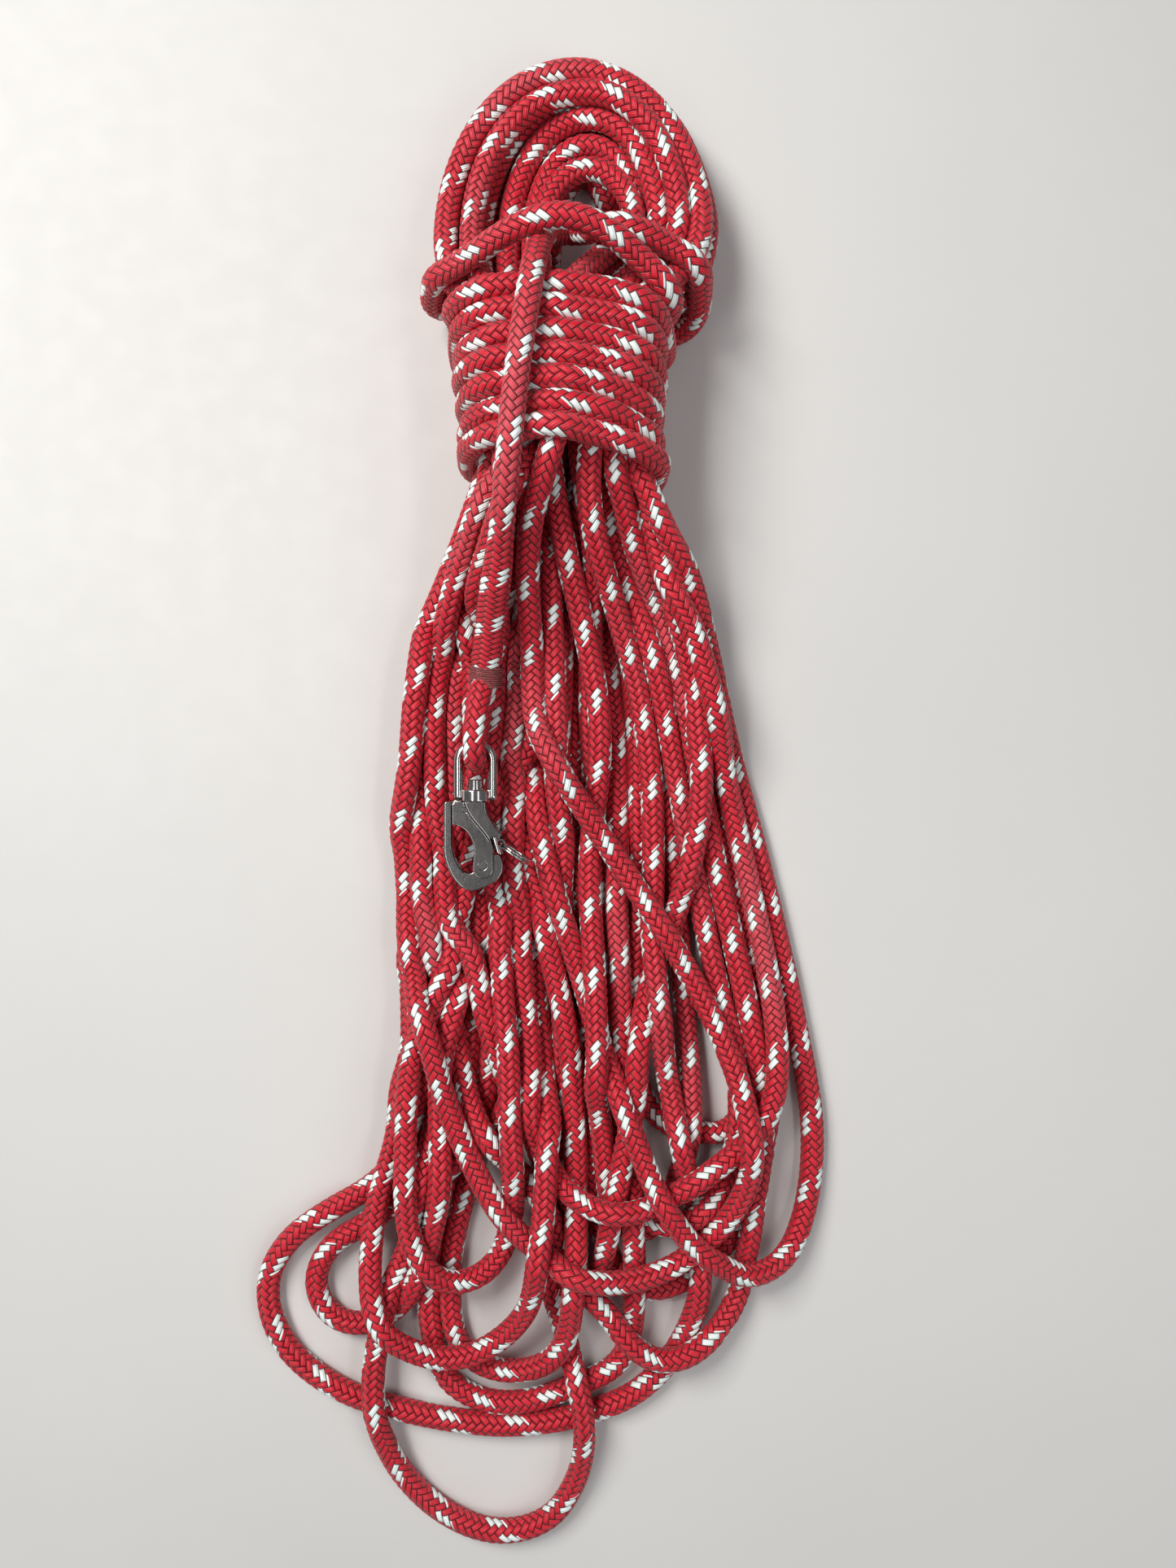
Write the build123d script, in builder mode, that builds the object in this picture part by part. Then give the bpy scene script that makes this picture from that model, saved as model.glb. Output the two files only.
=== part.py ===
from build123d import *
from math import cos, pi, radians, sin, tan
import os

# A gasket-coiled hank of double-braid line with a swivel-bail snap shackle on its eye splice.
# Millimetres. The hank lies on z = 0, its head towards +Y and its loose loops towards -Y, and the
# origin is under the middle of its box. The shackle lies flat on the hank, pointing along -Y.

# Line
LINE_D = 12.0  # outside of the cover
CORE_D = 8.0  # the inner braid that the cover is sleeved over
THROAT_D = 15.0  # buried part of the eye splice, where cover and core lie doubled
THROAT_CORE_D = 10.5
EYE_D = 11.2  # the line squeezed flat round the bail
FLOOR_GAP = 0.2  # a loop's tube lies this far above the floor
CROSSING_GAP = 0.5

# Hank
WRAP_TOP_W, WRAP_FOOT_W = 114.0, 98.0
WRAP_H, WRAP_NECK_H, WRAP_FOOT_H = 94.0, 80.0, 84.0
WRAP_Y0, WRAP_Y1, WRAP_SHOULDER = 160.0, 256.0, 22.0
WRAP_X, WRAP_ROUND = 10.0, 34.0
HEAD_H, HEAD_FILLET, HEAD_TIP_Y = 58.0, 20.0, 382.9
HEAD_EYE_W, HEAD_EYE_L = 22.0, 14.0  # the small gap left inside the head's turns
SKIRT_H, FAN_H, PILE_FILLET = 28.0, 22.0, 7.0
SKIRT_JOIN_Y, FAN_JOIN_Y = 76.0, -180.0

# Eye splice
CROWN = Vector(-31.0, 40.0, 40.0)  # middle of the bail's wire where the eye hangs on it
EYE_R = 9.0  # centreline of the line round the wire
EYE_LEG = 10.0  # straight stretch of each leg above the bend
THROAT_END = Vector(-26.0, 69.0, 40.0)
THROAT_NEXT = Vector(-25.0, 82.0, 43.5)  # the throat's next route point, along its last run
LEG_SPREAD = Vector(1.5, 0.0, -2.8)  # from the throat's middle to where the back leg leaves it
TWINE_D, TWINE_TURNS, WHIPPING_START = 1.1, 9, 1.0
EYE_RELIEF = 0.6

# Snap shackle, in its own plane: x across, y along, from the middle of the bail's crown
BAIL_WIRE_D, BAIL_R = 5.0, 8.6
COLLAR_D, COLLAR_H, COLLAR_TOP = 15.0, 6.0, -23.0
POST_D, POST_HEAD_D, POST_HEAD_H = 6.3, 7.6, 4.4
WASHER_D, WASHER_T = 9.0, 0.7
RUN_GAP = 0.05  # radial gap of a running fit
AXIAL_GAP = 0.1
PLATE_T, SPINE_T, SLOT_T, JAW_T, ARM_T = 9.6, 12.4, 6.5, 6.1, 9.2
EDGE = 0.9  # rounding of the body's and the jaw's edges
BODY_TOP = COLLAR_TOP - COLLAR_H - AXIAL_GAP
BODY_LEFT = -11.3
NOSE_LEFT = -15.6
NOSE_GAP = 0.3
PIVOT = Vector(3.9, -60.8)
PIVOT_D, RIVET_PROUD = 4.4, 0.3
NOSE_PIN, NOSE_PIN_D = Vector(-4.7, -33.2), 2.6
TONGUE_T, TONGUE_GAP = 3.0, 0.3
TONGUE_Y0, TONGUE_Y1 = -34.5, -31.2
JAW_OPEN = 95.0  # degrees
PLUNGER_TIP = Vector(12.2, -55.4)
PLUNGER_LEAN = 18.0  # degrees to the left of straight up
PLUNGER_D, PLUNGER_L, PLUNGER_TRAVEL, TIP_GAP = 3.6, 9.0, 1.5, 0.2
LUG_AT, LUG_W, LUG_T, LUG_REACH, LUG_HOLE_D = 5.0, 4.8, 2.0, 2.2, 3.2
SPRING_WIRE_D, SPRING_TURNS, SPRING_GAP = 0.5, 3, 0.15
BORE_GAP, NOTCH_W = 0.06, 9.8
BOSS_FOOT = -47.6
RING_OD, RING_WIRE_D, RING_LEAN = 18.0, 1.3, -34.0

SWEEP_R = 17.4  # clear room about the shank, in which the jaw swings as the shackle swivels


def bend_radii(points):
    """An arc for each corner, as large as its two runs allow."""
    radii = []
    for before, corner, after in zip(points, points[1:], points[2:]):
        arriving, leaving = corner - before, after - corner
        half_turn = radians(arriving.get_angle(leaving)) / 2
        radii.append(0.45 * min(arriving.length, leaving.length) / tan(half_turn))
    return radii


def route(name, *points):
    """Builds the centreline through hand-set points and prints its length and tightest bend."""
    corners = [Vector(*p) for p in points]
    radii = bend_radii(corners)
    line = FilletPolyline(*corners, radius=radii)
    print(f"{name}: length {line.length:.0f}, smallest radius {min(radii):.1f}")
    return line


def across(path, at=0):
    """The plane square to a path at one of its ends."""
    return Plane(origin=path @ at, z_dir=path % at)


def finish(piece, name):
    piece.part.label = name
    export_step(piece.part, f"parts/{name}.step")
    nodes[name] = piece.part


def low(z=0.0):
    """Height of a line's centre when it lies on the floor, or on something z high."""
    return z + LINE_D / 2 + FLOOR_GAP


os.makedirs("parts", exist_ok=True)
nodes = {}
shackle_plane = Plane(origin=CROWN)

# ---- The hank: closed solids of its outer shape ----

with BuildPart() as hank_wraps:
    wrap_sections = [
        (WRAP_Y0, WRAP_FOOT_W, WRAP_FOOT_H),
        (WRAP_Y0 + WRAP_SHOULDER, WRAP_FOOT_W + 4, WRAP_H),
        (WRAP_Y1 - WRAP_SHOULDER, WRAP_TOP_W, WRAP_H),
        (WRAP_Y1, WRAP_TOP_W, WRAP_NECK_H),
    ]
    for y, width, height in wrap_sections:
        with BuildSketch(Plane.XZ.offset(-y)):
            with Locations((WRAP_X, height / 2)):
                RectangleRounded(width, height, WRAP_ROUND)
    loft(ruled=True)
finish(hank_wraps, "hank_wraps")

with BuildPart() as hank_head:
    with BuildSketch(Plane.XY):
        with BuildLine():
            sides = Spline(
                (WRAP_X - WRAP_TOP_W / 2 + 3, WRAP_Y1),
                (WRAP_X - WRAP_TOP_W / 2 - 5, 300),
                (WRAP_X - WRAP_TOP_W / 2 + 6, 346),
                (16, HEAD_TIP_Y),
                (WRAP_X + WRAP_TOP_W / 2 + 6, 346),
                (WRAP_X + WRAP_TOP_W / 2 + 18, 300),
                (WRAP_X + WRAP_TOP_W / 2 - 1, WRAP_Y1),
            )
            Line(sides @ 1, sides @ 0)
        make_face()
    extrude(amount=HEAD_H)
    fillet(hank_head.edges().group_by(Axis.Z)[-1].sort_by(Axis.Y)[1:], HEAD_FILLET)
    with BuildSketch(Plane.XY):
        with Locations((16, 317)):
            Ellipse(HEAD_EYE_W / 2, HEAD_EYE_L / 2)
    extrude(amount=HEAD_H, mode=Mode.SUBTRACT)
finish(hank_head, "hank_head")


def pile_section(y, left, right, height):
    """A flat-bottomed cross-section of a pile of strands."""
    with BuildSketch(Plane.XZ.offset(-y)) as section:
        with Locations(((left + right) / 2, height / 2)):
            RectangleRounded(right - left, height, min(PILE_FILLET, 0.4 * height))
    return section.sketch


skirt_join = pile_section(SKIRT_JOIN_Y, -65, 88, SKIRT_H)

with BuildPart() as skirt_upper:
    upper_sections = [
        pile_section(WRAP_Y0, -26, 57, 66),
        pile_section(126, -52, 77, 42),
        skirt_join,
    ]
    loft(upper_sections, ruled=True)
finish(skirt_upper, "skirt_upper")

with BuildPart() as skirt_lower:
    lower_sections = [
        skirt_join,
        pile_section(-37, -71, 113, SKIRT_H),
        pile_section(-117, -69, 129, SKIRT_H),
        pile_section(FAN_JOIN_Y, -86, 129, FAN_H + 2),
    ]
    loft(lower_sections, ruled=True)
    shank_start = Plane(origin=CROWN + Vector(0, COLLAR_TOP + 1, 0), z_dir=(0, -1, 0))
    with BuildSketch(shank_start):
        Circle(SWEEP_R)
    extrude(amount=56, mode=Mode.SUBTRACT)
    # Room for the eye's lower leg
    leg_foot = CROWN.Z - EYE_R - EYE_D / 2 - EYE_RELIEF
    with BuildSketch(Plane.XY.offset(leg_foot)):
        with Locations((CROWN.X + 2, CROWN.Y + 10)):
            Rectangle(26, 76)
    extrude(amount=SKIRT_H, mode=Mode.SUBTRACT)
finish(skirt_lower, "skirt_lower")

with BuildPart() as hank_fan:
    with BuildSketch(Plane.XY):
        with BuildLine():
            rim = Spline(
                (-86, FAN_JOIN_Y),
                (-95, -222),
                (-82, -268),
                (-46, -296),
                (4, -303),
                (50, -292),
                (82, -258),
                (96, -222),
                (129, FAN_JOIN_Y),
            )
            Line(rim @ 1, rim @ 0)
        make_face()
    extrude(amount=FAN_H)
    fillet(hank_fan.edges().group_by(Axis.Z)[-1].sort_by(Axis.Y)[:-1], PILE_FILLET)
finish(hank_fan, "hank_fan")

# ---- Loose loops and crossing strands: plain tubes ----

over_loop = low(LINE_D + CROSSING_GAP)
loops = {
    "loop_bottom": [
        (-80, -256, low()),
        (-87, -284, low() + 1),
        (-87, -302, over_loop),
        (-84, -320, over_loop),
        (-74, -345, low() + 1),
        (-54, -366, low()),
        (-24, -379, low()),
        (6, -372, low()),
        (20, -349, low() + 2),
        (24, -329, over_loop),
        (24, -308, over_loop),
        (19, -290, over_loop + 2),
    ],
    "loop_left": [
        (-89, -194, low(4)),
        (-112, -206, low() + 1),
        (-135, -222, low()),
        (-147, -246, low()),
        (-138, -278, low()),
        (-108, -302, low()),
        (-72, -313, low()),
        (-32, -320, low()),
        (8, -319, low()),
        (44, -308, low()),
        (70, -284, low()),
    ],
    "loop_left_small": [
        (-93, -214, low(2)),
        (-112, -224, low()),
        (-121, -243, low()),
        (-114, -261, low()),
        (-99, -268, low()),
    ],
    "loop_right": [
        (134, -92, low(6)),
        (140, -128, low() + 1),
        (145.5, -162, low()),
        (143, -202, low()),
        (131, -232, low()),
        (107, -238, low()),
        (90, -224, low() + 1),
    ],
    "locking_turn": [
        (-52, 262, 44),
        (-50, 266, 60),
        (-33, 276, 78),
        (-4, 287, 90),
        (26, 285, 90),
        (50, 271, 84),
        (66, 260, 68),
        (73, 257, 50),
    ],
    "locking_turn_inner": [
        (24, 303, 62),
        (44, 294, 74),
        (64, 280, 74),
        (78, 265, 62),
        (83, 254, 46),
    ],
}
for name, points in loops.items():
    with BuildPart() as loop:
        with BuildLine() as path:
            centreline = route(name, *points)
        with BuildSketch(across(path.line)):
            Circle(LINE_D / 2)
        sweep()
    section = pi * LINE_D**2 / 4
    print(f"  volume over section x length: {loop.part.volume / section / centreline.length:.4f}")
    finish(loop, name)

# ---- The tail, over the wraps and down to the shackle: cover and core ----

tail_points = [
    (4, 296, 67),
    (0, 268, 89),
    (-4, 240, 102),
    (-7, 213, 103.5),
    (-9, 188, 103),
    (-11, 167, 100),
    (-14, 147, 89),
    (-16, 135, 79),
]
throat_points = [
    (-16, 135, 79),
    (-18, 123, 69),
    (-22, 102, 53.5),
    tuple(THROAT_NEXT),
    tuple(THROAT_END),
]


def sleeve(name, points, outer, inner):
    """A braided cover over its core, as two nodes along one route."""
    for part_name, rings in ((f"{name}_cover", (outer, inner)), (f"{name}_core", (inner,))):
        with BuildPart() as piece:
            with BuildLine() as path:
                route(part_name, *points)
            with BuildSketch(across(path.line)):
                Circle(rings[0] / 2)
                if len(rings) > 1:
                    Circle(rings[1] / 2, mode=Mode.SUBTRACT)
            sweep()
        finish(piece, part_name)


sleeve("tail", tail_points, LINE_D, CORE_D)
sleeve("throat", throat_points, THROAT_D, THROAT_CORE_D)

# ---- Eye splice: two legs out of the throat, round the bail, and the whipping ----

bend_top = CROWN + Vector(0, 0, EYE_R)
bend_tip = CROWN + Vector(0, -EYE_R, 0)
bend_foot = CROWN - Vector(0, 0, EYE_R)
leg_rise = Vector(0, EYE_LEG, 0)
half = EYE_R * sin(pi / 4)

with BuildPart() as rope_eye:
    for bend_end, side, leg_start in (
        (bend_top, 1, THROAT_END - LEG_SPREAD),
        (bend_foot, -1, THROAT_END + LEG_SPREAD),
    ):
        with BuildLine() as leg:
            corners = [leg_start, bend_end + leg_rise, bend_end]
            FilletPolyline(*corners, radius=bend_radii(corners))
            ThreePointArc(bend_end, CROWN + Vector(0, -half, side * half), bend_tip)
        with BuildSketch(across(leg.line)):
            Circle(EYE_D / 2)
        sweep()
finish(rope_eye, "rope_eye")

throat_axis = (THROAT_NEXT - THROAT_END).normalized()
throat_side = throat_axis.cross(Vector(0, 0, 1)).normalized()
with BuildPart() as eye_whipping:
    with BuildSketch(Plane(THROAT_END, throat_side, throat_side.cross(throat_axis))):
        with BuildLine():
            # One small arc for each turn of twine
            rim_r, valley_r = THROAT_D / 2, THROAT_D / 2 + 0.65 * TWINE_D
            start = WHIPPING_START
            for turn in range(TWINE_TURNS):
                y0 = start + turn * TWINE_D
                ThreePointArc(
                    (valley_r, y0), (rim_r + TWINE_D, y0 + TWINE_D / 2), (valley_r, y0 + TWINE_D)
                )
            end = start + TWINE_TURNS * TWINE_D
            Polyline((valley_r, end), (rim_r, end), (rim_r, start), (valley_r, start))
        make_face()
    revolve(axis=Axis(THROAT_END, throat_axis))
finish(eye_whipping, "eye_whipping")

# ---- Snap shackle: swivel bail ----

collar_foot = COLLAR_TOP - COLLAR_H


def shank_plane(y):
    """Square to the shank, facing the crown, at a height along the shackle."""
    return Plane(origin=CROWN + Vector(0, y, 0), x_dir=(1, 0, 0), z_dir=(0, 1, 0))


with BuildPart() as swivel_bail:
    leg_end = COLLAR_TOP - COLLAR_H / 2
    with BuildLine(shackle_plane) as hoop:
        Line((-BAIL_R, leg_end), (-BAIL_R, -BAIL_R))
        ThreePointArc((-BAIL_R, -BAIL_R), (0, 0), (BAIL_R, -BAIL_R))
        Line((BAIL_R, -BAIL_R), (BAIL_R, leg_end))
    with BuildSketch(across(hoop.line)):
        Circle(BAIL_WIRE_D / 2)
    sweep()
    with Locations(*(CROWN + Vector(side * BAIL_R, leg_end, 0) for side in (-1, 1))):
        Sphere(BAIL_WIRE_D / 2)
    with BuildSketch(shank_plane(collar_foot)):
        Circle(COLLAR_D / 2)
    extrude(amount=COLLAR_H)
    rims = swivel_bail.edges().filter_by(GeomType.CIRCLE)
    fillet(rims.filter_by(lambda e: abs(e.radius - COLLAR_D / 2) < 0.01), 0.8)
    with BuildSketch(shank_plane(collar_foot - 1)):
        Circle(POST_D / 2 + RUN_GAP)
    extrude(amount=COLLAR_H + 2, mode=Mode.SUBTRACT)
finish(swivel_bail, "swivel_bail")

# ---- Snap shackle: post, washer and body ----

washer_foot = COLLAR_TOP + AXIAL_GAP
head_foot = washer_foot + WASHER_T
post_foot = BODY_TOP - 6.0

with BuildPart() as swivel_post:
    with BuildSketch(shank_plane(post_foot)):
        Circle(POST_D / 2)
    extrude(amount=head_foot - post_foot)
    with BuildSketch(shank_plane(head_foot)):
        Circle(POST_HEAD_D / 2)
    extrude(amount=POST_HEAD_H)
    chamfer(swivel_post.edges().filter_by(GeomType.CIRCLE).sort_by(Axis.Y)[-1], 0.6)
finish(swivel_post, "swivel_post")

with BuildPart() as swivel_washer:
    with BuildSketch(shank_plane(washer_foot)):
        Circle(WASHER_D / 2)
        Circle(POST_D / 2 + RUN_GAP, mode=Mode.SUBTRACT)
    extrude(amount=WASHER_T)
finish(swivel_washer, "swivel_washer")

lean = Vector(-sin(radians(PLUNGER_LEAN)), cos(radians(PLUNGER_LEAN)))


def along_plunger(distance):
    """A place on the plunger's axis, from its tip, in the shackle's plane."""
    return PLUNGER_TIP + lean * distance


def plunger_plane(distance):
    return Plane(origin=CROWN + along_plunger(distance), x_dir=(0, 0, 1), z_dir=lean)


def cam_point(turn):
    """The jaw's heel just inside the plunger's tip once the jaw has turned, so that lift follows turn."""
    lifted = along_plunger(PLUNGER_TRAVEL * turn / JAW_OPEN) - PIVOT
    return PIVOT + lifted.rotate(Axis.Z, -turn) * (1 - TIP_GAP / lifted.length)


spring_seat = PLUNGER_L + 4.6  # far end of the spring's bore, along the plunger's axis
bore_r = PLUNGER_D / 2 + BORE_GAP

with BuildPart() as shackle_body:
    with BuildSketch(shackle_plane):
        with BuildLine():
            Polyline((-0.9, -61.2), (-0.2, -53.5))
            Spline((-0.2, -53.5), (-1.6, -47.6), (-5.2, -42.6), (BODY_LEFT, -40.4))
            Line((BODY_LEFT, -40.4), (BODY_LEFT, BODY_TOP - 1.2))
            Line((BODY_LEFT, BODY_TOP - 1.2), (BODY_LEFT + 1.2, BODY_TOP))
            Line((BODY_LEFT + 1.2, BODY_TOP), (5.6, BODY_TOP))
            Spline((5.6, BODY_TOP), (7.2, -36.6), (11.2, -42.6), (14.6, -46.0))
            Line((14.6, -46.0), (14.2, BOSS_FOOT))
            Line((14.2, BOSS_FOOT), (9.0, BOSS_FOOT - 0.6))
            Line((9.0, BOSS_FOOT - 0.6), (9.0, -63.2))
            ThreePointArc((9.0, -63.2), (4.2, -67.2), (-0.9, -61.2))
        make_face()
    extrude(amount=PLATE_T / 2, both=True)
    # The thicker rounded spine from the neck to the boss
    with BuildSketch(shackle_plane):
        with BuildLine():
            Line((-5.4, BODY_TOP), (5.6, BODY_TOP))
            Spline((5.6, BODY_TOP), (7.2, -36.6), (11.2, -42.6), (14.6, -46.0))
            Line((14.6, -46.0), (14.2, BOSS_FOOT))
            Line((14.2, BOSS_FOOT), (7.2, BOSS_FOOT - 0.8))
            Spline((7.2, BOSS_FOOT - 0.8), (3.0, -42.6), (-1.6, -37.0), (-5.4, BODY_TOP))
        make_face()
    extrude(amount=SPINE_T / 2, both=True)
    rims = shackle_body.edges().group_by(Axis.Z)
    fillet((rims[0] + rims[-1]).filter_by(GeomType.BSPLINE), EDGE)
    # Slot in which the jaw's heel turns, open to the right and below
    heel_r = (cam_point(JAW_OPEN) - PIVOT).length + 2 * TIP_GAP
    with BuildSketch(shackle_plane):
        with Locations(PIVOT):
            Circle(heel_r)
        with Locations(PIVOT - Vector(0, heel_r)):
            Rectangle(2 * heel_r, heel_r)
    extrude(amount=SLOT_T / 2, both=True, mode=Mode.SUBTRACT)
    # Slot for the jaw's tongue
    with BuildSketch(shackle_plane):
        with BuildLine():
            Polyline(
                (BODY_LEFT - 1, TONGUE_Y0 - 3.6),
                (NOSE_PIN.X - NOSE_PIN_D / 2, TONGUE_Y0 - 0.5),
                (NOSE_PIN.X - NOSE_PIN_D / 2, TONGUE_Y1 + TONGUE_GAP),
                (BODY_LEFT - 1, TONGUE_Y1 + TONGUE_GAP),
                close=True,
            )
        make_face()
    extrude(amount=TONGUE_T / 2 + TONGUE_GAP, both=True, mode=Mode.SUBTRACT)
    # Bores for the rivet, the nose pin, the post and the plunger with its spring
    with BuildSketch(shackle_plane):
        with Locations(PIVOT):
            Circle(PIVOT_D / 2)
        with Locations(NOSE_PIN):
            Circle(NOSE_PIN_D / 2)
    extrude(amount=SPINE_T, both=True, mode=Mode.SUBTRACT)
    with BuildSketch(shank_plane(post_foot)):
        Circle(POST_D / 2)
    extrude(amount=BODY_TOP - post_foot + 1, mode=Mode.SUBTRACT)
    with BuildSketch(plunger_plane(-TIP_GAP)):
        Circle(bore_r)
    extrude(amount=spring_seat + TIP_GAP, mode=Mode.SUBTRACT)
    # Side notch, where the plunger's lug and the ring travel
    with BuildSketch(plunger_plane(LUG_AT - LUG_W / 2 - 0.3)):
        with Locations((0, NOTCH_W / 2 - bore_r)):
            Rectangle(SPINE_T + 1, NOTCH_W)
    extrude(amount=LUG_W + PLUNGER_TRAVEL + 0.6, mode=Mode.SUBTRACT)
finish(shackle_body, "shackle_body")

with BuildPart() as nose_pin:
    with BuildSketch(shackle_plane):
        with Locations(NOSE_PIN):
            Circle(NOSE_PIN_D / 2)
    extrude(amount=PLATE_T / 2 - 0.4, both=True)
finish(nose_pin, "nose_pin")

with BuildPart() as jaw_rivet:
    with BuildSketch(shackle_plane):
        with Locations(PIVOT):
            Circle(PIVOT_D / 2)
    extrude(amount=PLATE_T / 2 + RIVET_PROUD, both=True)
    chamfer(jaw_rivet.edges().filter_by(GeomType.CIRCLE), RIVET_PROUD * 0.8)
finish(jaw_rivet, "jaw_rivet")

# ---- Snap shackle: jaw ----

CAM_STEPS = 10
with BuildPart() as shackle_jaw:
    with BuildSketch(shackle_plane) as jaw_outline:
        with BuildLine():
            cam = [cam_point(JAW_OPEN * i / CAM_STEPS) for i in range(CAM_STEPS + 1)]
            heel = Spline(*cam)
            nose_right = BODY_LEFT - NOSE_GAP
            Spline(heel @ 1, (4.6, -71.6), (-3.2, -73.2), (-11.4, -66.2), (NOSE_LEFT, -52.0))
            Line((NOSE_LEFT, -52.0), (NOSE_LEFT, BODY_TOP - 1.0))
            Line((NOSE_LEFT, BODY_TOP - 1.0), (NOSE_LEFT + 1.2, BODY_TOP + 0.2))
            Line((NOSE_LEFT + 1.2, BODY_TOP + 0.2), (nose_right, BODY_TOP + 0.2))
            Line((nose_right, BODY_TOP + 0.2), (nose_right, -47.0))
            Spline((nose_right, -47.0), (-10.6, -55.6), (-7.8, -61.4), (-3.4, -64.8), (0.4, -63.0))
            ThreePointArc((0.4, -63.0), PIVOT + Vector(-3.4, 3.2), PIVOT + Vector(2.2, 5.6))
            Line(PIVOT + Vector(2.2, 5.6), heel @ 0)
        make_face()
    extrude(amount=JAW_T / 2, both=True)
    # The arm and nose are as thick as the body's plate
    with BuildSketch(shackle_plane):
        add(jaw_outline.sketch_local)
        with Locations((-12.0, -55.0)):
            Rectangle(13.0, 60.0, mode=Mode.INTERSECT)
    extrude(amount=ARM_T / 2, both=True)
    rims = shackle_jaw.edges().group_by(Axis.Z)
    fillet((rims[0] + rims[-1]).filter_by(GeomType.BSPLINE), EDGE)
    # Tongue that seats against the nose pin
    with BuildSketch(shackle_plane):
        tongue_tip = NOSE_PIN.X - NOSE_PIN_D / 2 - TONGUE_GAP
        with Locations(((nose_right + tongue_tip) / 2 - 0.2, (TONGUE_Y0 + TONGUE_Y1) / 2)):
            Rectangle(tongue_tip - nose_right + 0.4, TONGUE_Y1 - TONGUE_Y0)
    extrude(amount=TONGUE_T / 2, both=True)
    with BuildSketch(shackle_plane):
        with Locations(PIVOT):
            Circle(PIVOT_D / 2 + RUN_GAP)
    extrude(amount=JAW_T, both=True, mode=Mode.SUBTRACT)
finish(shackle_jaw, "shackle_jaw")

# ---- Snap shackle: plunger, spring and pull ring ----

lug_side = Vector(lean.Y, -lean.X)  # out to the right, square to the plunger's axis
ring_hole = along_plunger(LUG_AT) + lug_side * LUG_REACH

with BuildPart() as plunger:
    with BuildSketch(plunger_plane(0)):
        Circle(PLUNGER_D / 2)
    extrude(amount=PLUNGER_L)
    # Its end follows the circle that the heel's corner sweeps
    with BuildSketch(shackle_plane):
        with Locations(PIVOT):
            Circle((PLUNGER_TIP - PIVOT).length)
    extrude(amount=PLUNGER_D, both=True, mode=Mode.SUBTRACT)
    lug_plane = Plane(origin=CROWN + along_plunger(LUG_AT), x_dir=lug_side, z_dir=(0, 0, 1))
    with BuildSketch(lug_plane):
        with Locations((LUG_REACH / 2, 0)):
            Rectangle(LUG_REACH, LUG_W)
        with Locations((LUG_REACH, 0)):
            Circle(LUG_W / 2)
    extrude(amount=LUG_T / 2, both=True)
    with BuildSketch(lug_plane):
        with Locations((LUG_REACH, 0)):
            Circle(LUG_HOLE_D / 2)
    extrude(amount=PLUNGER_D, both=True, mode=Mode.SUBTRACT)
finish(plunger, "plunger")

with BuildPart() as plunger_spring:
    spring_r = PLUNGER_D / 2 - SPRING_WIRE_D / 2 - SPRING_GAP
    spring_start = PLUNGER_L + SPRING_WIRE_D / 2 + 0.05
    # Fully pressed, so that the plunger can carry it back into its bore
    spring_l = spring_seat - PLUNGER_L - SPRING_WIRE_D - 0.1 - PLUNGER_TRAVEL
    with BuildLine() as coil:
        Helix(
            pitch=spring_l / SPRING_TURNS,
            height=spring_l,
            radius=spring_r,
            center=CROWN + along_plunger(spring_start),
            direction=lean,
        )
    with BuildSketch(across(coil.line)):
        Circle(SPRING_WIRE_D / 2)
    sweep(is_frenet=True)
finish(plunger_spring, "plunger_spring")

with BuildPart() as pull_ring:
    ring_r = (RING_OD - RING_WIRE_D) / 2
    out = Vector(cos(radians(RING_LEAN)), sin(radians(RING_LEAN)))
    ring_axis = Vector(-out.Y, out.X)
    for side in (-1, 1):
        centre = CROWN + ring_hole + out * ring_r + ring_axis * (side * RING_WIRE_D * 0.49)
        with BuildSketch(Plane(origin=centre, x_dir=out, z_dir=ring_axis.cross(out))):
            with Locations((ring_r, 0)):
                Circle(RING_WIRE_D / 2)
        revolve(axis=Axis(centre, ring_axis))
finish(pull_ring, "pull_ring")

# ---- Report of places and sizes ----

everything = Compound(children=list(nodes.values()))
box = everything.bounding_box()
print("box", tuple(box.min), tuple(box.max))
print("middle of box", tuple(box.center()))
print("pivot", tuple(CROWN + PIVOT), "ring hole", tuple(CROWN + ring_hole))
print("plunger direction", tuple(lean), "lift per radian", PLUNGER_TRAVEL / radians(JAW_OPEN))
print("nodes", len(nodes))
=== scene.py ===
import math

import bpy
import numpy as np
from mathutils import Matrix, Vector


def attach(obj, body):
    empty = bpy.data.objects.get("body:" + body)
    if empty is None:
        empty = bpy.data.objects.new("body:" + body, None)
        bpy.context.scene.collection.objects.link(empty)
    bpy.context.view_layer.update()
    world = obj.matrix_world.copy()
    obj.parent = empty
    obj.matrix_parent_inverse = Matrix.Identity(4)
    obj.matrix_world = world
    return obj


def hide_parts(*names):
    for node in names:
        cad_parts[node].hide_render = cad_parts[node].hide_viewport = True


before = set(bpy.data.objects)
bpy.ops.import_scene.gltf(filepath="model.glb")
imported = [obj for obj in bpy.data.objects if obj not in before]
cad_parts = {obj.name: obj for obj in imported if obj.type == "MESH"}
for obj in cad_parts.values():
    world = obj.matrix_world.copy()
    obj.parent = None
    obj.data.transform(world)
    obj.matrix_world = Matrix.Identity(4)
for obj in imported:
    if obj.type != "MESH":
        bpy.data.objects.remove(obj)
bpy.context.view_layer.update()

# A gasket-coiled hank of 12 mm double-braid line, with an eye splice that holds a swivel-bail snap
# shackle. Metres. The whole line is one mesh that follows one centreline: eye, splice, tail, locking
# turns, wraps, then sixteen turns of the coil.

# ---- Camera, straight down on the hank as it lies on the floor ----

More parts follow.
